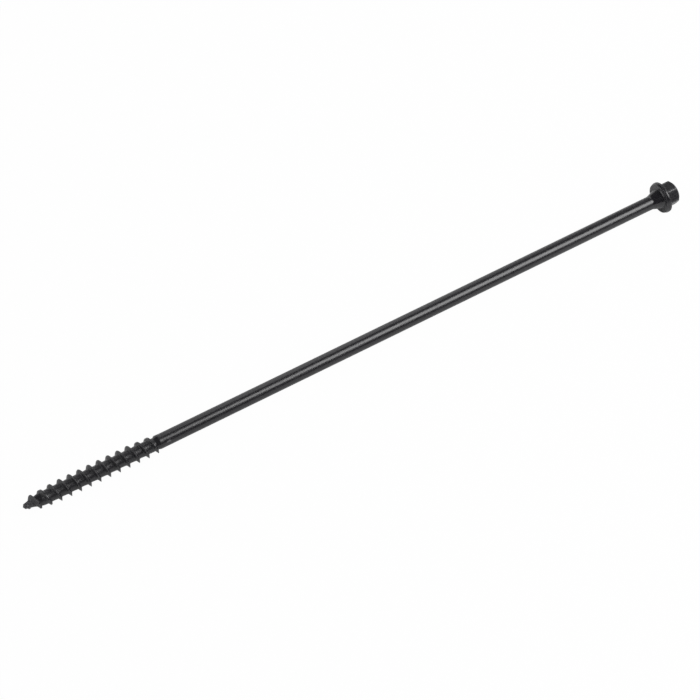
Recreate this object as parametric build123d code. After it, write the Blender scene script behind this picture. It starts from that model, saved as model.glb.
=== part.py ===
from build123d import *
from math import asin, ceil, cos, degrees, pi, radians, sin, sqrt, tan
import os

# A hex timber screw: one forged and rolled piece of hardened steel, lying at rest.
# Millimetres. It is drawn upright, point at the origin and head up +Z, and laid along +X last.

# lengths along the screw
length_under_head = 250.0
thread_length = 48.8         # from the point to the end of the shoulder
point_length = 6.3           # tapered point, up to the full thread root
nose_length = 0.5            # pinched nose of the point
shoulder_length = 1.5        # cone between the thread root and the shank

# diameters and radial steps
shank_d = 4.75
shoulder_step = 0.16         # the thread root lies this far below the shank
crest_proud = 1.04           # the crest stands this far above the shank
nose_tip_d = 0.3
nose_d = 1.7

# rolled thread: right hand, one start
pitch = 3.507
crest_flat = 0.14            # width of the whole crest
point_flank = 32.0           # degrees from square, flank on the side of the point
head_flank = 23.0            # degrees from square, flank on the side of the head
thread_start = 0.8           # the crest leaves the nose here
first_rise = 1.95            # radius that the crest gains quickly from its start
first_rise_length = 2.85
point_spread = 4.0           # on the point, the crest widens only by its distance over this
full_crest_at = 12.8         # the crest is whole from here on
run_out = 0.95               # the crest ends this far up the shank
# the last turns are lower on one side: (distance before the end of the crest, height missing)
last_turns = [(9.6, 0), (7.8, 0.27), (6.05, 0.02), (4.35, 0.45), (2.55, 0.12)]
ridge_root = 0.3             # the ridge reaches this far into the core

# conical neck under the head
neck_length = 3.93
seat_width = 1.89            # flat ring outside the neck

# head
hex_across_flats = 7.85
head_height = 6.35           # from the seat to the top of the hex
flange_ledge = 1.165         # the flange reaches this far past the hex corners
rim_height = 1.5
rim_round = 0.2
crown_slope = 18.0           # degrees, from the rim up to the hex
hex_corner_r = 0.35
hex_top_bevel = 0.55         # the turned bevel starts this far inside the flats
bevel_slope = 37.0           # degrees
hex_turn = 16.1              # degrees from the start of the thread to a hex corner

# how it lies
roll = -49.6                 # degrees from straight up to the start of the thread

# sizes that follow
shank_r = shank_d / 2
root_r = shank_r - shoulder_step
crest_r = shank_r + crest_proud
thread_depth = crest_r - root_r
hex_reach = hex_across_flats / sqrt(3)
flange_r = hex_reach + flange_ledge
neck_r = flange_r - seat_width
ridge_end = thread_length + run_out


def between(points, at):
    """Height at one place on a line of (place, height) points."""
    for (a, low), (b, high) in zip(points, points[1:]):
        if at <= b:
            return low + (high - low) * (at - a) / (b - a)
    return points[-1][1]


def core_outline():
    """(place, radius) of the point, the thread root and the shoulder."""
    return [
        (0, nose_tip_d / 2),
        (nose_length, nose_d / 2),
        (point_length, root_r),
        (thread_length - shoulder_length, root_r),
        (thread_length, shank_r),
    ]


def crest_outline():
    """(place, radius) of the crest, which starts and ends inside the core."""
    sunk = ridge_root / 2
    first = between(core_outline(), thread_start) - sunk
    return [
        (thread_start, first),
        (thread_start + first_rise_length, first + first_rise),
        (full_crest_at, crest_r),
        *[(ridge_end - before, crest_r - missing) for before, missing in last_turns],
        (ridge_end, root_r - sunk),
    ]


def core_at(place):
    return between(core_outline(), max(place, 0))


def ridge_section(at):
    """Corners of the rolled ridge as (radius, place): foot, crest, crest, foot.

    The flanks stay where a whole thread has them, so a lower crest is a wider one.
    """
    crest = between(crest_outline(), at)
    climb = max(crest - core_at(at), 0)
    spread = min(thread_depth - climb, (at - thread_start) / point_spread)
    crest_start = at - crest_flat / 2 - spread * tan(radians(point_flank))
    crest_end = at + crest_flat / 2 + spread * tan(radians(head_flank))
    foot_start = crest_start - (climb + ridge_root) * tan(radians(point_flank))
    foot_end = crest_end + (climb + ridge_root) * tan(radians(head_flank))
    return [
        (core_at(foot_start) - ridge_root, foot_start),
        (crest, crest_start),
        (crest, crest_end),
        (core_at(foot_end) - ridge_root, foot_end),
    ]


def ridge_piece(start, end):
    """One turn of the ridge, as a solid between two places along the screw."""
    steps = 24
    places = [start + (end - start) * i / steps for i in range(steps + 1)]
    rails = [[] for corner in ridge_section(start)]
    for at in places:
        turn = 2 * pi * at / pitch
        for rail, (radius, height) in zip(rails, ridge_section(at)):
            rail.append(Vector(radius * cos(turn), radius * sin(turn), height))
    curves = [Edge.make_spline(rail) for rail in rails]
    skin = [Face.make_surface_from_curves(curves[i - 1], curves[i]) for i in range(len(curves))]
    ends = [Face(Wire.make_polygon([rail[i] for rail in rails], close=True)) for i in (0, -1)]
    return Solid(Shell(skin + ends))


def thread():
    """The whole ridge, turn by turn."""
    length = ridge_end - thread_start
    turns = ceil(length / pitch)
    cuts = [thread_start + length * i / turns for i in range(turns + 1)]
    return [ridge_piece(a, b) for a, b in zip(cuts, cuts[1:])]


def shaft_and_flange():
    """Point, thread root, shank, neck and flange, turned about the axis."""
    seat = length_under_head
    rim_top = seat + rim_height
    crown_in = hex_across_flats / 2 - hex_top_bevel
    crown_top = rim_top + (flange_r - crown_in) * tan(radians(crown_slope))
    shaft = [(radius, place) for place, radius in core_outline()]
    head = [
        (shank_r, seat - neck_length),
        (neck_r, seat),
        (flange_r, seat),
        (flange_r, rim_top),
        (crown_in, crown_top),
        (0, crown_top),
    ]
    half = make_face(Polyline((0, 0), *shaft, *head, close=True))
    rim_corners = half.vertices().filter_by(lambda corner: corner.X > flange_r - 0.001)
    half = fillet(rim_corners, rim_round)
    return revolve(Plane.XZ * half, Axis.Z)


def hex_head():
    """The hex with rounded corners and a turned bevel around its top."""
    prism = extrude(RegularPolygon(hex_reach, 6, rotation=hex_turn), head_height)
    prism = fillet(prism.edges().filter_by(Axis.Z), hex_corner_r)
    bevel_in = hex_across_flats / 2 - hex_top_bevel
    bevel_out = hex_reach + hex_top_bevel
    drop = (bevel_out - bevel_in) * tan(radians(bevel_slope))
    turned = Polyline(
        (0, 0),
        (bevel_out, 0),
        (bevel_out, head_height - drop),
        (bevel_in, head_height),
        (0, head_height),
        close=True,
    )
    return Pos(0, 0, length_under_head) * (prism & revolve(Plane.XZ * make_face(turned), Axis.Z))


def laid_down(screw):
    """The screw on a table: the flange rim and the first whole crest touch it."""
    lean = asin((flange_r - crest_r) / (length_under_head - full_crest_at))
    lying = Rot(0, 90 - degrees(lean), 0) * Rot(0, 0, 180 + roll) * screw
    box = lying.bounding_box(optimal=True)
    return Pos(-box.center().X, -box.center().Y, -box.min.Z) * lying


screw = (shaft_and_flange() + hex_head()).fuse(*thread())

os.makedirs("parts", exist_ok=True)
export_step(laid_down(screw), "parts/hex_timber_screw.step")
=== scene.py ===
import math

import bpy
from mathutils import Matrix, Quaternion, Vector

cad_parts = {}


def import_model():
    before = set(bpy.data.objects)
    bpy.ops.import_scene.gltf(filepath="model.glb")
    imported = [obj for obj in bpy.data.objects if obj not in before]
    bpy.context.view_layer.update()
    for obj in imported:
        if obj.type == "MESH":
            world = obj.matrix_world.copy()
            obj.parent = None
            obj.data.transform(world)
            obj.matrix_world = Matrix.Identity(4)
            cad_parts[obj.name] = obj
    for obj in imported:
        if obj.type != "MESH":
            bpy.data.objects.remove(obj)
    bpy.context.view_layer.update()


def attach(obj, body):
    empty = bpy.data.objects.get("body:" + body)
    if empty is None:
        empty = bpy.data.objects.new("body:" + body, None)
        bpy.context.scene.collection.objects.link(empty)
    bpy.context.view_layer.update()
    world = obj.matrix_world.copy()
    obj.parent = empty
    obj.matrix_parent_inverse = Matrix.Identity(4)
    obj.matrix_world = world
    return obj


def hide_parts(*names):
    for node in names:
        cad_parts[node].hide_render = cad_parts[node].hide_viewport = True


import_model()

MM = 0.001
NODE = "hex_timber_screw"

# ---------------------------------------------------------------- sizes, in millimetres
# The screw is drawn upright, point at the origin and head up +Z, then laid down.

# point, thread root and shank
UNDER_HEAD = 250.0
SHOULDER_END = 48.8
SHOULDER = 1.5
POINT = 6.3
NOSE = 0.5
NOSE_TIP_R = 0.09
NOSE_R = 0.85
POINT_HOLLOW = (3.0, 1.36)      # place and radius where the point is slimmer than a straight cone
SHANK_R = 2.42
ROOT_R = 2.215
SHOULDER_DIP = 0.175            # the root sinks this far just before the shoulder
DIP_LENGTH = 1.6
BEND = 0.19                     # the tip is bent aside by this much
BEND_FROM, BEND_TO = 3.5, 7.0   # the bend fades between these places

# thread
PITCH = 3.507
CREST_R = 3.415
CREST_FLAT = 0.14               # width of the whole crest
TIP_FLANK = math.tan(math.radians(32.0))
HEAD_FLANK = math.tan(math.radians(23.0))
THREAD_START = 0.8
THREAD_END = 49.75
FIRST_RISE = 1.95               # radius that the crest gains quickly from its start
FIRST_RISE_LENGTH = 2.85
POINT_SPREAD = 4.0              # on the point, the crest widens only by its distance over this
FULL_CREST = 12.8               # the crest is whole from here on
# the last turns are lower on one side: (distance before the end of the crest, height missing)
LAST_TURNS = ((9.6, 0.0), (7.8, 0.27), (6.05, 0.02), (4.35, 0.45), (2.55, 0.12))
SUNK = 0.15                     # the crest starts and ends this far inside the core
ROOT_RAMP = 0.1                 # the root climbs this far from one ridge to the next
ROOT_BLEND = 0.16               # fillet between the root and the ridge
SEAM_DEPTH = 0.15               # rolled seam along the middle of a wide crest
SEAM_SHARE = 0.3                # a seam is no deeper than this share of the crest's extra width
HUMP = 0.12                     # small hump beside the end of the ridge
HUMP_PLACE = SHOULDER_END - 0.3
HUMP_LENGTH = 0.5

# neck and flange
NECK = 3.93
NECK_BLEND = 0.4                # the neck bends out of the shank over this length each way
NECK_FOOT = (0.09, 0.25)        # the neck's last row stops this far inside and below its end
ACROSS_FLATS = 7.85
HEX_R = ACROSS_FLATS / math.sqrt(3)
FLANGE_R = HEX_R + 1.15
NECK_R = FLANGE_R - 1.875
SEAT_LOW = 0.12                 # the seat stands this far towards the point
SEAT_FOOT = ((-0.04, -0.03), (0.05, 0.0), (0.45, 0.0))  # out and up, rows where the neck meets it
RIM = 1.5
RIM_ROUND_LOW = (0.1, 0.15)     # roundings and taper of the rim: across and along
RIM_TAPER = (0.3, 0.7)
RIM_ROUND = (0.2, 0.4)
RIM_THICKER = (0.08, 0.1)       # below and above, on the downward side
RIM_LOWER = (0.2, 0.26)         # top of the straight part and of the rounding, on the near side
CROWN_SLOPE = math.tan(math.radians(18.0))
CROWN_EDGE = 0.1                # the crown's own rows start this far inside the rim

# hex
HEAD_HEIGHT = 6.35
TOP = UNDER_HEAD + HEAD_HEIGHT
HEX_CORNER_R = 0.35
HEX_TURN = math.radians(16.1)   # from the start of the thread to a hex corner
HEX_FOOT = ((0.2, 0.0), (0.08, 0.03), (0.02, 0.1), (0.0, 0.22))  # fillet rows: out and up
BEVEL_IN = 0.55                 # the turned bevel starts this far inside the flats
BEVEL_SLOPE = math.tan(math.radians(39.5))
BEVEL_ROUND = 0.12              # the bevel's edges are rounded over this much
BEVEL_DROP = 0.1 * BEVEL_SLOPE
BEVEL_EDGE = (0.03, 0.01)       # in and down, the row on the outer edge
TOP_EDGE = (0.02, 0.01)         # in and down, the row on the inner edge
TOP_FLAT_IN = 0.15

# how it lies
LEAN = math.asin((FLANGE_R - CREST_R) / (UNDER_HEAD - FULL_CREST))
ROLL = math.radians(-49.6)
TIP_PLACE = Vector((-128.1835, 0.0, 3.2900))
# turns of the drawing that face up, the camera and down in the main view
UPWARD = math.radians(-5.0)
NEAR = math.radians(85.0)
DOWNWARD = math.radians(175.0)

# ---------------------------------------------------------------- marks in the coating, and painted highlight
# lighter steel grey marks, 0 for sound coating and 1 for fully lighter: scraped-off coating, and
# also a painted highlight on the crests, edges, corners, tip, seat and rim
CREST_WEAR_AND_HIGHLIGHT = 0.8
TIP_WEAR_AND_HIGHLIGHT, TIP_WEAR_AND_HIGHLIGHT_FADE = 0.95, 1.6     # at the tip, and how late it fades along the point
SEAT_WEAR_AND_HIGHLIGHT = 0.8
RIM_WEAR_AND_HIGHLIGHT = 0.6
CORNER_WEAR_AND_HIGHLIGHT, CORNER_REACH = 0.9, 0.3    # and how far in from a sharp corner it reaches
BEVEL_EDGE_WEAR_AND_HIGHLIGHT, BEVEL_WEAR_AND_HIGHLIGHT, TOP_EDGE_WEAR_AND_HIGHLIGHT = 0.75, 0.8, 0.5
RUB_AND_HIGHLIGHT, RUB_AND_HIGHLIGHT_TURN, RUB_AND_HIGHLIGHT_WIDTH = 1.7, NEAR - 0.28, 0.4    # a lighter place on the seat facing the camera, scraped coating and also a painted highlight: amount and radians
RUB_AND_HIGHLIGHT_ON_RIM = 0.8                # share of it that reaches the rim
# rolled: how rough and uneven the metal is under its coating, below 0 where it is smoother
TIP_ROLLED = 3.0
ROLLED_LESS = 0.7               # the thread root gets this much smoother towards the shank
ROLLED_FADE = 0.6               # and it ends over this length
NOSE_ROLLED = 2.0
NECK_ROLLED = -1.3
# small scuffs on the shank, in millimetres at rest: centre and half lengths
SCUFFS = (
    ((-77.1, -2.17, 4.75), (0.42, 0.3, 0.3)),
    ((-76.5, -2.1, 4.85), (0.4, 0.3, 0.3)),
    ((-76.1, -2.25, 4.65), (0.25, 0.3, 0.4)),
)

# ---------------------------------------------------------------- rows of points
COLUMNS = 120
TURNS = [2 * math.pi * c / COLUMNS for c in range(COLUMNS)]
FOOT_GAP = 0.14                 # spacing of the rows round a foot of the ridge
CREST_OUT, CREST_IN = 0.03, 0.02    # rows outside and inside each edge of the crest
CREST_REACH = 0.08              # the crest's lighter mark, scraped coating and painted highlight, reaches this far past its edges
LOW_RIDGE = 0.2                 # a ridge lower than this gets no lighter crest, neither scraped coating nor painted highlight
RING_GAP = 0.01                 # helical rows nearer to a ring than this end on it
PAST_RIDGE = 0.3                # the first plain ring of the shank, past the end of the ridge
SHANK_ROWS = 24
NECK_ROWS = 8
NECK_ROWS_END = 0.3             # the even rows of the neck stop this far below its end


# ---------------------------------------------------------------- outlines
def between(points, at):
    """Height at one place on a line of (place, height) points."""
    if at <= points[0][0]:
        return points[0][1]
    for (a, low), (b, high) in zip(points, points[1:]):
        if at <= b:
            return low + (high - low) * (at - a) / (b - a)
    return points[-1][1]


CORE = [
    (0.0, NOSE_TIP_R),
    (NOSE, NOSE_R),
    POINT_HOLLOW,
    (POINT, ROOT_R),
    (SHOULDER_END - SHOULDER - DIP_LENGTH, ROOT_R),
    (SHOULDER_END - SHOULDER, ROOT_R - SHOULDER_DIP),
    (SHOULDER_END, SHANK_R),
]
FIRST_R = between(CORE, THREAD_START) - SUNK
CREST = [
    (THREAD_START, FIRST_R),
    (THREAD_START + FIRST_RISE_LENGTH, FIRST_R + FIRST_RISE),
    (FULL_CREST, CREST_R),
    *((THREAD_END - before, CREST_R - missing) for before, missing in LAST_TURNS),
    (THREAD_END, ROOT_R - SUNK),
]


def smooth_max(a, b, k):
    """The larger of two numbers, rounded off where they differ by less than k."""
    h = max(k - abs(a - b), 0.0) / k
    return max(a, b) + h * h * k / 4


# ---------------------------------------------------------------- mesh
class Mesh:
    """Points and faces of one closed skin, with the lighter mark (scraped coating and painted
    highlight) and the rolled mark of each point.
    """

    def __init__(self):
        self.points = []
        self.faces = []
        self.wear_and_highlight = []
        self.rolled = []
        self.last = []

    def point(self, r, turn, z, wear_and_highlight=0.0, rolled=0.0):
        aside = BEND * min(max((BEND_TO - z) / (BEND_TO - BEND_FROM), 0.0), 1.0)
        self.points.append((r * math.cos(turn) + aside, r * math.sin(turn), z))
        self.wear_and_highlight.append(wear_and_highlight)
        self.rolled.append(rolled)
        return len(self.points) - 1

    def ring(self, radii, z, wear_and_highlight=0.0, rolled=0.0):
        """One ring of points. Radii, heights and the lighter mark of scraped coating and painted
        highlight are each one number or a list.
        """
        out = []
        for c, turn in enumerate(TURNS):
            r = radii[c] if isinstance(radii, list) else radii
            h = z[c] if isinstance(z, list) else z
            w = wear_and_highlight[c] if isinstance(wear_and_highlight, list) else wear_and_highlight
            out.append(self.point(r, turn, h, w, rolled))
        return out

    def bridge(self, low, high):
        """Faces between two rings."""
        for c in range(COLUMNS):
            n = (c + 1) % COLUMNS
            self.faces.append((low[c], low[n], high[n], high[c]))

    def grow(self, radii, z, wear_and_highlight=0.0, rolled=0.0):
        """A new ring, joined to the last one."""
        ring = self.ring(radii, z, wear_and_highlight, rolled)
        self.bridge(self.last, ring)
        self.last = ring

    def fan(self, ring, middle, up):
        """Faces from a ring to one point in its middle."""
        for c in range(COLUMNS):
            n = (c + 1) % COLUMNS
            self.faces.append((ring[c], ring[n], middle) if up else (ring[n], ring[c], middle))


# ---------------------------------------------------------------- threaded length
def section(at):
    """The ridge at one place: crest radius, climb above the core and its crest's two edges."""
    crest = between(CREST, at)
    climb = max(crest - between(CORE, at), 0.0)
    spread = min(CREST_R - ROOT_R - climb, (at - THREAD_START) / POINT_SPREAD)
    spread = max(spread, 0.0)
    left = -CREST_FLAT / 2 - spread * TIP_FLANK
    right = CREST_FLAT / 2 + spread * HEAD_FLANK
    return crest, climb, left, right


def surface(z, at):
    """Radius of the threaded length at height z, near the turn whose crest lies at `at`."""
    core = between(CORE, z)
    if not THREAD_START <= at <= THREAD_END:
        return core
    crest, climb, left, right = section(at)
    past = z - at
    foot_left, foot_right = left - climb * TIP_FLANK, right + climb * HEAD_FLANK
    gap = PITCH - foot_right + foot_left
    along = past - foot_right if past > 0 else past + PITCH - foot_right
    share = min(max(along / gap, 0.0), 1.0)
    whole = min(climb / (CREST_R - ROOT_R), 1.0)
    root = core + ROOT_RAMP * share * share * whole
    rise = crest - max(left - past, 0.0) / TIP_FLANK - max(past - right, 0.0) / HEAD_FLANK
    extra = right - left - 2 * CREST_FLAT
    if left < past < right and extra > 0:
        across = 2 * (past - left) / (right - left) - 1
        rise -= min(SEAM_DEPTH, SEAM_SHARE * extra) * (1 - across * across)
    return smooth_max(root, rise, ROOT_BLEND)


def hump(z, turn):
    along = (z - HUMP_PLACE) / HUMP_LENGTH
    return HUMP * max(math.cos(turn - UPWARD), 0.0) * math.exp(-along * along)


def section_near(at):
    return section(min(max(at, THREAD_START), THREAD_END))


def row_places(at):
    """Places of the rows of one turn, from half a pitch before its crest to half a pitch after."""
    crest, climb, left, right = section_near(at)
    g = FOOT_GAP
    a = min(left - climb * TIP_FLANK, left - 3 * g)
    b = max(right + climb * HEAD_FLANK, right + 3 * g)
    half = PITCH / 2
    row = [-half + (a - g + half) * i / 4 for i in range(4)]
    row += [a - g, a - g / 3, a + g / 3, a + g]
    row += [a + g + (left - a - g) * 0.5, left - CREST_OUT, left + CREST_IN]
    row += [(left + right) / 2]
    row += [right - CREST_IN, right + CREST_OUT, right + (b - g - right) * 0.5]
    row += [b - g, b - g / 3, b + g / 3, b + g]
    row += [b + g + (half - b - g) * i / 4 for i in range(1, 4)]
    return row


def thread_marks(z, at, end):
    """Lighter mark (scraped coating and painted highlight) and rolled mark of one point of the
    thread, on the turn whose crest lies at `at`.
    """
    crest, climb, left, right = section_near(at)
    tip = 1 - z / POINT
    on_crest = left - CREST_REACH < z - at < right + CREST_REACH and climb > LOW_RIDGE
    wear_and_highlight = CREST_WEAR_AND_HIGHLIGHT if on_crest else 0.0
    rolled = 0.0
    if not on_crest:
        rolled = min((end - z) / ROLLED_FADE, 1.0) * (1 - ROLLED_LESS * z / SHOULDER_END)
    rolled += TIP_ROLLED * max(tip, 0.0)
    return max(wear_and_highlight, TIP_WEAR_AND_HIGHLIGHT * min(TIP_WEAR_AND_HIGHLIGHT_FADE * tip, 1.0)), rolled


def threaded(mesh, start, end):
    """The helical rows between two rings. Rows that pass a ring end on it."""
    low, high = mesh.points[start[0]][2], mesh.points[end[0]][2]
    rows = len(row_places(FULL_CREST))
    turns = math.ceil(high / PITCH) + 2
    columns = []
    for c in range(COLUMNS):
        column = []
        for k in range(-2, turns):
            at = (k + c / COLUMNS) * PITCH
            turn = 2 * math.pi * at / PITCH
            for past in row_places(at):
                z = at + past
                if z <= low + RING_GAP:
                    column.append(start[c])
                elif z >= high - RING_GAP:
                    column.append(end[c])
                else:
                    wear_and_highlight, rolled = thread_marks(z, at, high)
                    r = surface(z, at) + hump(z, turn)
                    column.append(mesh.point(r, turn, z, wear_and_highlight, rolled))
        columns.append(column)
    for c in range(COLUMNS):
        here = columns[c]
        beside = columns[c + 1] if c + 1 < COLUMNS else columns[0][rows:]
        for i in range(min(len(here), len(beside)) - 1):
            corners = []
            for p in (here[i], beside[i], beside[i + 1], here[i + 1]):
                if p not in corners:
                    corners.append(p)
            if len(corners) > 2:
                mesh.faces.append(tuple(corners))


def point_and_thread(mesh):
    tip = mesh.point(0.0, 0.0, 0.0, rolled=NOSE_ROLLED)
    nose = mesh.ring(NOSE_TIP_R, 0.0)
    mesh.fan(nose, tip, False)
    start = mesh.ring(NOSE_R, NOSE)
    mesh.bridge(nose, start)
    mesh.last = mesh.ring(SHANK_R, THREAD_END + PAST_RIDGE)
    threaded(mesh, start, mesh.last)


# ---------------------------------------------------------------- shank and head
def shank_and_neck(mesh):
    shank_start = THREAD_END + PAST_RIDGE
    neck_start = UNDER_HEAD - NECK
    shank = neck_start - NECK_BLEND - shank_start
    for i in range(1, SHANK_ROWS + 1):
        mesh.grow(SHANK_R, shank_start + shank * i / SHANK_ROWS)
    taper = (NECK_R - SHANK_R) / NECK
    for at in (-NECK_BLEND / 2, 0.0, NECK_BLEND / 2, NECK_BLEND):
        r = SHANK_R + taper * (at + NECK_BLEND) ** 2 / (4 * NECK_BLEND)
        mesh.grow(r, neck_start + at, rolled=NECK_ROLLED)
    straight = NECK - NECK_BLEND - NECK_ROWS_END
    for i in range(1, NECK_ROWS + 1):
        at = NECK_BLEND + straight * i / NECK_ROWS
        mesh.grow(SHANK_R + taper * at, neck_start + at, rolled=NECK_ROLLED)
    mesh.grow(NECK_R - NECK_FOOT[0], UNDER_HEAD - NECK_FOOT[1], rolled=NECK_ROLLED)


def crown_z(r):
    return UNDER_HEAD + RIM + (FLANGE_R - r) * CROWN_SLOPE


def flange(mesh):
    """Seat and rim, up to the edge of the crown."""
    low = UNDER_HEAD - SEAT_LOW
    facing_down = [max(math.cos(t - DOWNWARD), 0.0) ** 2 for t in TURNS]
    near = [max(math.cos(t - NEAR), 0.0) ** 2 for t in TURNS]
    # a lighter patch on the seat and partly the rim, centred towards the camera: scraped coating
    # and also a painted highlight
    rubbed_and_lit = [RUB_AND_HIGHLIGHT * math.exp(-(((t - RUB_AND_HIGHLIGHT_TURN) / RUB_AND_HIGHLIGHT_WIDTH) ** 2)) for t in TURNS]
    for out, up in SEAT_FOOT:
        mesh.grow(NECK_R + out, low + up, rubbed_and_lit)
    seat = [low - RIM_THICKER[0] * d for d in facing_down]
    mesh.grow((NECK_R + FLANGE_R) / 2, seat, SEAT_WEAR_AND_HIGHLIGHT)
    for i in range(5):
        a = math.pi / 2 * i / 4
        r = FLANGE_R - RIM_TAPER[0] - RIM_ROUND_LOW[0] * (1 - math.sin(a))
        mesh.grow(r, [z + RIM_ROUND_LOW[1] * (1 - math.cos(a)) for z in seat], RIM_WEAR_AND_HIGHLIGHT)
    for share, rub_and_lit in ((0.1, 0.0), (0.5, RUB_AND_HIGHLIGHT_ON_RIM), (0.9, 0.0), (1.0, 0.0)):
        r = FLANGE_R - RIM_TAPER[0] * (1 - share)
        z = low + RIM_ROUND_LOW[1] + RIM_TAPER[1] * share
        worn_and_lit = [w * rub_and_lit for w in rubbed_and_lit]
        mesh.grow(r, [z - RIM_LOWER[0] * share * n for n in near], worn_and_lit)
    crown = math.atan(CROWN_SLOPE)
    drop = RIM_ROUND[1] * math.cos(crown) - RIM_ROUND[0] * (1 - math.sin(crown)) * CROWN_SLOPE
    lift = [RIM_THICKER[1] * d - RIM_LOWER[1] * n for d, n in zip(facing_down, near)]
    for i in range(7):
        a = (math.pi / 2 - crown) * i / 6
        z = UNDER_HEAD + RIM - drop + RIM_ROUND[1] * math.sin(a)
        mesh.grow(FLANGE_R - RIM_ROUND[0] * (1 - math.cos(a)), [z + up for up in lift])


def hex_radius(turn):
    """Radius of the hex, with its rounded corners, in one direction."""
    sixth = math.pi / 3
    a = (turn - HEX_TURN + sixth / 2) % sixth - sixth / 2
    apothem = ACROSS_FLATS / 2
    centre = (apothem - HEX_CORNER_R) / math.cos(sixth / 2)
    edge_out = centre + HEX_CORNER_R * math.cos(sixth / 2)
    if abs(a) >= math.atan2(HEX_CORNER_R * math.sin(sixth / 2), edge_out):
        return apothem / math.cos(sixth / 2 - abs(a))
    return centre * math.cos(a) + math.sqrt(HEX_CORNER_R**2 - (centre * math.sin(a)) ** 2)


def crown_and_hex(mesh):
    """The crown, the sides of the hex, its bevel and its plain top."""
    sides = [hex_radius(t) for t in TURNS]
    # hex corners are lighter: scraped coating and a painted highlight
    corners = [CORNER_WEAR_AND_HIGHLIGHT if r > HEX_R - CORNER_REACH else 0.0 for r in sides]
    foot_out, foot_up = HEX_FOOT[0][0], HEX_FOOT[-1][1]
    crown_start = FLANGE_R - CROWN_EDGE
    for share in (0.4, 0.8):
        radii = [crown_start * (1 - share) + (r + foot_out) * share for r in sides]
        mesh.grow(radii, [crown_z(r) for r in radii])
    for out, up in HEX_FOOT:
        mesh.grow([r + out for r in sides], [crown_z(r + out) + up for r in sides], corners)

    bevel = [TOP - (r - ACROSS_FLATS / 2 + BEVEL_IN) * BEVEL_SLOPE for r in sides]
    below = [b - BEVEL_ROUND for b in bevel]
    for share in (0.35, 0.7):
        heights = [
            (crown_z(r) + foot_up) * (1 - share) + b * share for r, b in zip(sides, below)
        ]
        mesh.grow(sides, heights, corners)
    edge_in, edge_down = BEVEL_EDGE
    mesh.grow(sides, below, BEVEL_EDGE_WEAR_AND_HIGHLIGHT)
    mesh.grow([r - edge_in for r in sides], [b - edge_down for b in bevel], BEVEL_WEAR_AND_HIGHLIGHT)
    mesh.grow([r - BEVEL_ROUND for r in sides], [b + BEVEL_DROP for b in bevel], BEVEL_WEAR_AND_HIGHLIGHT)

    top_r = ACROSS_FLATS / 2 - BEVEL_IN
    mesh.grow(top_r + BEVEL_ROUND, TOP - BEVEL_DROP, TOP_EDGE_WEAR_AND_HIGHLIGHT)
    mesh.grow(top_r - TOP_EDGE[0], TOP - TOP_EDGE[1], TOP_EDGE_WEAR_AND_HIGHLIGHT)
    mesh.grow(top_r - TOP_FLAT_IN, TOP)
    mesh.grow(top_r / 2, TOP)
    mesh.fan(mesh.last, mesh.point(0.0, 0.0, TOP), True)


def build_screw():
    mesh = Mesh()
    point_and_thread(mesh)
    shank_and_neck(mesh)
    flange(mesh)
    crown_and_hex(mesh)
    return mesh


def laid_down():
    """From the upright drawing, in millimetres, to the screw at rest, in metres."""
    spin = Matrix.Rotation(math.pi + ROLL, 4, "Z")
    fall = Matrix.Rotation(math.pi / 2 - LEAN, 4, "Y")
    return Matrix.Scale(MM, 4) @ Matrix.Translation(TIP_PLACE) @ fall @ spin


def make_object(name, drawn, matrix):
    data = bpy.data.meshes.new(name)
    data.from_pydata([matrix @ Vector(p) for p in drawn.points], [], drawn.faces)
    data.validate()
    # each point's lighter mark, scraped coating and painted highlight, and its rolled mark become
    # mesh attributes
    for mark in ("wear_and_highlight", "rolled"):
        attribute = data.attributes.new(mark, "FLOAT", "POINT")
        attribute.data.foreach_set("value", getattr(drawn, mark))
    data.shade_smooth()
    obj = bpy.data.objects.new(name, data)
    bpy.context.scene.collection.objects.link(obj)
    return obj


# ---------------------------------------------------------------- materials
def node_material(name):
    mat = bpy.data.materials.new(name)
    mat.use_nodes = True
    tree = mat.node_tree
    tree.nodes.clear()
    return mat, tree


def add(tree, kind, inputs=None, **settings):
    """A new node with its settings. An input is an output to link it to, or a plain value."""
    node = tree.nodes.new(kind)
    for key, value in settings.items():
        setattr(node, key, value)
    for key, value in (inputs or {}).items():
        if isinstance(value, bpy.types.NodeSocket):
            tree.links.new(value, node.inputs[key])
        else:
            node.inputs[key].default_value = value
    return node


def noise(tree, place, scale, detail):
    inputs = {"Vector": place, "Scale": scale, "Detail": detail}
    return add(tree, "ShaderNodeTexNoise", inputs).outputs["Fac"]


def maths(tree, operation, *inputs):
    node = add(tree, "ShaderNodeMath", dict(enumerate(inputs)), operation=operation)
    return node.outputs[0]


def scuff(tree, place, centre, stretch):
    """A soft spot, which fades out round its half lengths."""
    inputs = {0: place, 1: [c * MM for c in centre]}
    apart = add(tree, "ShaderNodeVectorMath", inputs, operation="SUBTRACT")
    inputs = {0: apart.outputs[0], 1: [c * MM for c in stretch]}
    scaled = add(tree, "ShaderNodeVectorMath", inputs, operation="DIVIDE")
    away = add(tree, "ShaderNodeVectorMath", {0: scaled.outputs[0]}, operation="LENGTH")
    fade = {
        "Value": away.outputs["Value"],
        "From Min": 0.6,
        "From Max": 1.2,
        "To Min": 0.42,
        "To Max": 0.0,
    }
    return add(tree, "ShaderNodeMapRange", fade).outputs[0]


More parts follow.
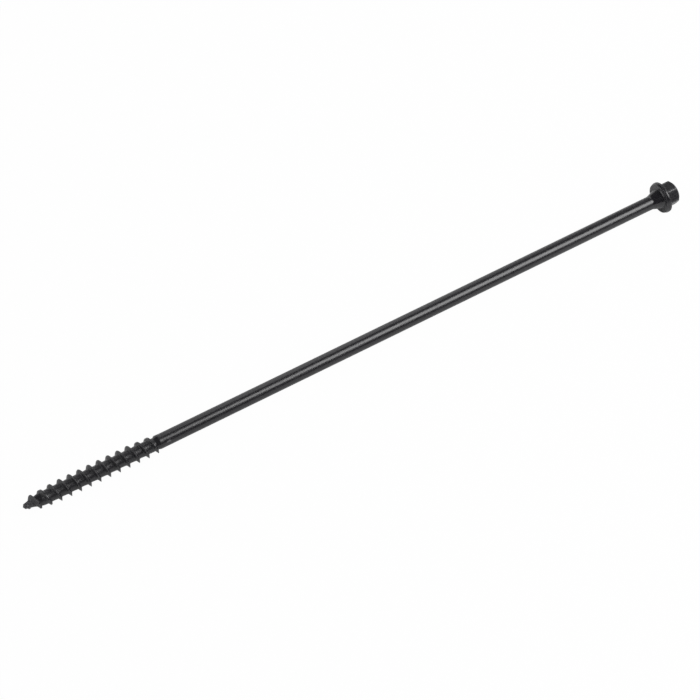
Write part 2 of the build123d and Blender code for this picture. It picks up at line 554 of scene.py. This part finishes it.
def black_coating():
    """Satin black coating over rolled and forged steel, lighter steel grey where it is scraped on
    the crests and edges, and also lighter as a painted highlight on the crests, edges, corners, tip
    and the camera's side of the seat and rim.
    """
    mat, tree = node_material("black_coating")
    place = add(tree, "ShaderNodeTexCoord").outputs["Object"]
    wear_and_highlight = add(tree, "ShaderNodeAttribute", attribute_name="wear_and_highlight").outputs["Fac"]
    rolled = add(tree, "ShaderNodeAttribute", attribute_name="rolled").outputs["Fac"]
    fine = noise(tree, place, 2600.0, 3.0)
    broad = noise(tree, place, 420.0, 4.0)
    lumps = noise(tree, place, 750.0, 1.0)

    colour = add(tree, "ShaderNodeValToRGB", {"Fac": broad})
    dark, light = colour.color_ramp.elements
    dark.position, dark.color = 0.3, (0.007, 0.0065, 0.009, 1)
    light.position, light.color = 0.75, (0.0125, 0.0115, 0.0155, 1)

    # lighter steel grey where the mark is high: scraped coating and painted highlight; the scuffs
    # below are real marks
    worn_and_lit = {
        "Value": maths(tree, "MULTIPLY", wear_and_highlight, fine),
        "From Min": 0.35,
        "From Max": 0.75,
        "To Max": 0.5,
    }
    bare_and_lit = add(tree, "ShaderNodeMapRange", worn_and_lit).outputs[0]
    for centre, stretch in SCUFFS:
        bare_and_lit = maths(tree, "MAXIMUM", bare_and_lit, scuff(tree, place, centre, stretch))
    # the light grey mixed in stands for scraped coating and for a painted highlight
    mix = add(tree, "ShaderNodeMix", data_type="RGBA")
    tree.links.new(bare_and_lit, mix.inputs["Factor"])
    tree.links.new(colour.outputs["Color"], mix.inputs["A"])
    mix.inputs["B"].default_value = (0.28, 0.28, 0.29, 1)

    satin = {"Value": broad, "To Min": 0.26, "To Max": 0.36}
    rough = add(tree, "ShaderNodeMapRange", satin).outputs[0]
    grain = {"Height": fine, "Strength": 0.35, "Distance": 0.00003}
    bump = add(tree, "ShaderNodeBump", grain)
    uneven = {
        "Height": maths(tree, "MULTIPLY", lumps, maths(tree, "MAXIMUM", rolled, 0.0)),
        "Strength": 0.15,
        "Distance": 0.0003,
        "Normal": bump.outputs[0],
    }
    skin = {
        "Base Color": mix.outputs["Result"],
        "Roughness": maths(tree, "MULTIPLY_ADD", rolled, 0.08, rough),
        "IOR": 1.66,
        "Normal": add(tree, "ShaderNodeBump", uneven).outputs[0],
    }
    coat = add(tree, "ShaderNodeBsdfPrincipled", skin)
    add(tree, "ShaderNodeOutputMaterial", {"Surface": coat.outputs[0]})
    return mat


def floor_material():
    """White paint. The camera and the reflections see part of it as plain white instead."""
    mat, tree = node_material("floor_white")
    paint = add(tree, "ShaderNodeBsdfDiffuse", {"Color": (0.9, 0.9, 0.9, 1)})
    glow = add(tree, "ShaderNodeEmission")
    ray = add(tree, "ShaderNodeLightPath").outputs
    reflected = maths(tree, "MAXIMUM", ray["Is Glossy Ray"], ray["Is Transmission Ray"])
    seen = maths(tree, "MULTIPLY", ray["Is Camera Ray"], 0.98)
    share = maths(tree, "MULTIPLY_ADD", reflected, 0.15, seen)
    mix = add(tree, "ShaderNodeMixShader", {0: share, 1: paint.outputs[0], 2: glow.outputs[0]})
    add(tree, "ShaderNodeOutputMaterial", {"Surface": mix.outputs[0]})
    return mat


# ---------------------------------------------------------------- stage
def round_floor(radius=2.4, columns=96):
    turns = [2 * math.pi * c / columns for c in range(columns)]
    points = [(radius * math.cos(t), radius * math.sin(t), 0.0) for t in turns]
    data = bpy.data.meshes.new("floor")
    data.from_pydata(points, [], [range(columns)])
    obj = bpy.data.objects.new("floor", data)
    bpy.context.scene.collection.objects.link(obj)
    return obj


def area_light(name, place, target, width, height, radiance, oval=False, turn=0.0):
    """A light panel in metres that faces its target. Its radiance is 1 for plain white."""
    data = bpy.data.lights.new(name, "AREA")
    data.shape = "ELLIPSE" if oval else "RECTANGLE"
    data.size, data.size_y = width, height
    data.energy = radiance * math.pi * width * height * (math.pi / 4 if oval else 1)
    obj = bpy.data.objects.new(name, data)
    obj.location = place
    away = Vector(target) - Vector(place)
    obj.rotation_mode = "QUATERNION"
    obj.rotation_quaternion = away.to_track_quat("-Z", "Y") @ Quaternion((0, 0, 1), turn)
    bpy.context.scene.collection.objects.link(obj)
    return obj


def lights():
    """A soft box above the camera's side, towards the head, and pale walls behind and beside."""
    area_light(
        "soft_box", (0.66, -0.539, 0.814), (0.66, 0, 0), 1.06, 0.78, 5.25, oval=True, turn=-0.29
    )
    area_light("low_wall", (0.1, 1.2, 0.2), (0.1, 0, 0.2), 3.4, 0.4, 0.83)
    area_light("window_low", (0.46, 1.2, 0.75), (0.46, 0, 0.75), 0.44, 0.7, 1.1)
    area_light("window_high", (0.61, 1.2, 2.3), (0.61, 0, 2.3), 0.54, 2.4, 1.5)
    area_light("right_wall", (1.4, 0.55, 0.75), (0, 0.55, 0.75), 1.3, 1.5, 0.52)
    area_light("left_wall", (-1.4, 0.2, 0.7), (0, 0.2, 0.7), 2.0, 1.4, 1.2)


def world(level):
    sky = bpy.data.worlds.new("studio")
    sky.use_nodes = True
    sky.node_tree.nodes["Background"].inputs["Color"].default_value = (1, 1, 1, 1)
    sky.node_tree.nodes["Background"].inputs["Strength"].default_value = level
    bpy.context.scene.world = sky


# ---------------------------------------------------------------- camera
CAMERA_RISE = math.radians(50.070)      # elevation
CAMERA_ROUND = math.radians(32.017)     # turned towards the point from square on
CAMERA_BACK, CAMERA_LEFT, CAMERA_DOWN = 772.47, 5.492, 0.136    # millimetres from the centre
LENS = 118.286
SENSOR = 36.0


def camera():
    """The main view, from above, with the point nearer than the head."""
    level = math.cos(CAMERA_RISE)
    ahead = Vector(
        (math.sin(CAMERA_ROUND) * level, math.cos(CAMERA_ROUND) * level, -math.sin(CAMERA_RISE))
    )
    right = Vector((math.cos(CAMERA_ROUND), -math.sin(CAMERA_ROUND), 0.0))
    up = right.cross(ahead)
    data = bpy.data.cameras.new("camera")
    data.lens = LENS
    data.sensor_width = SENSOR
    data.clip_start, data.clip_end = 0.01, 20.0
    obj = bpy.data.objects.new("camera", data)
    place = (-ahead * CAMERA_BACK - right * CAMERA_LEFT - up * CAMERA_DOWN) * MM
    obj.matrix_world = Matrix.Translation(place) @ Matrix((right, up, -ahead)).transposed().to_4x4()
    bpy.context.scene.collection.objects.link(obj)
    bpy.context.scene.camera = obj


# ---------------------------------------------------------------- scene
camera()
screw = make_object("coated_screw", build_screw(), laid_down())
screw.data.materials.append(black_coating())
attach(screw, "root")
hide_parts(NODE)

floor = round_floor()
floor.data.materials.append(floor_material())

world(0.08)
lights()

bpy.context.scene.view_settings.view_transform = "Standard"
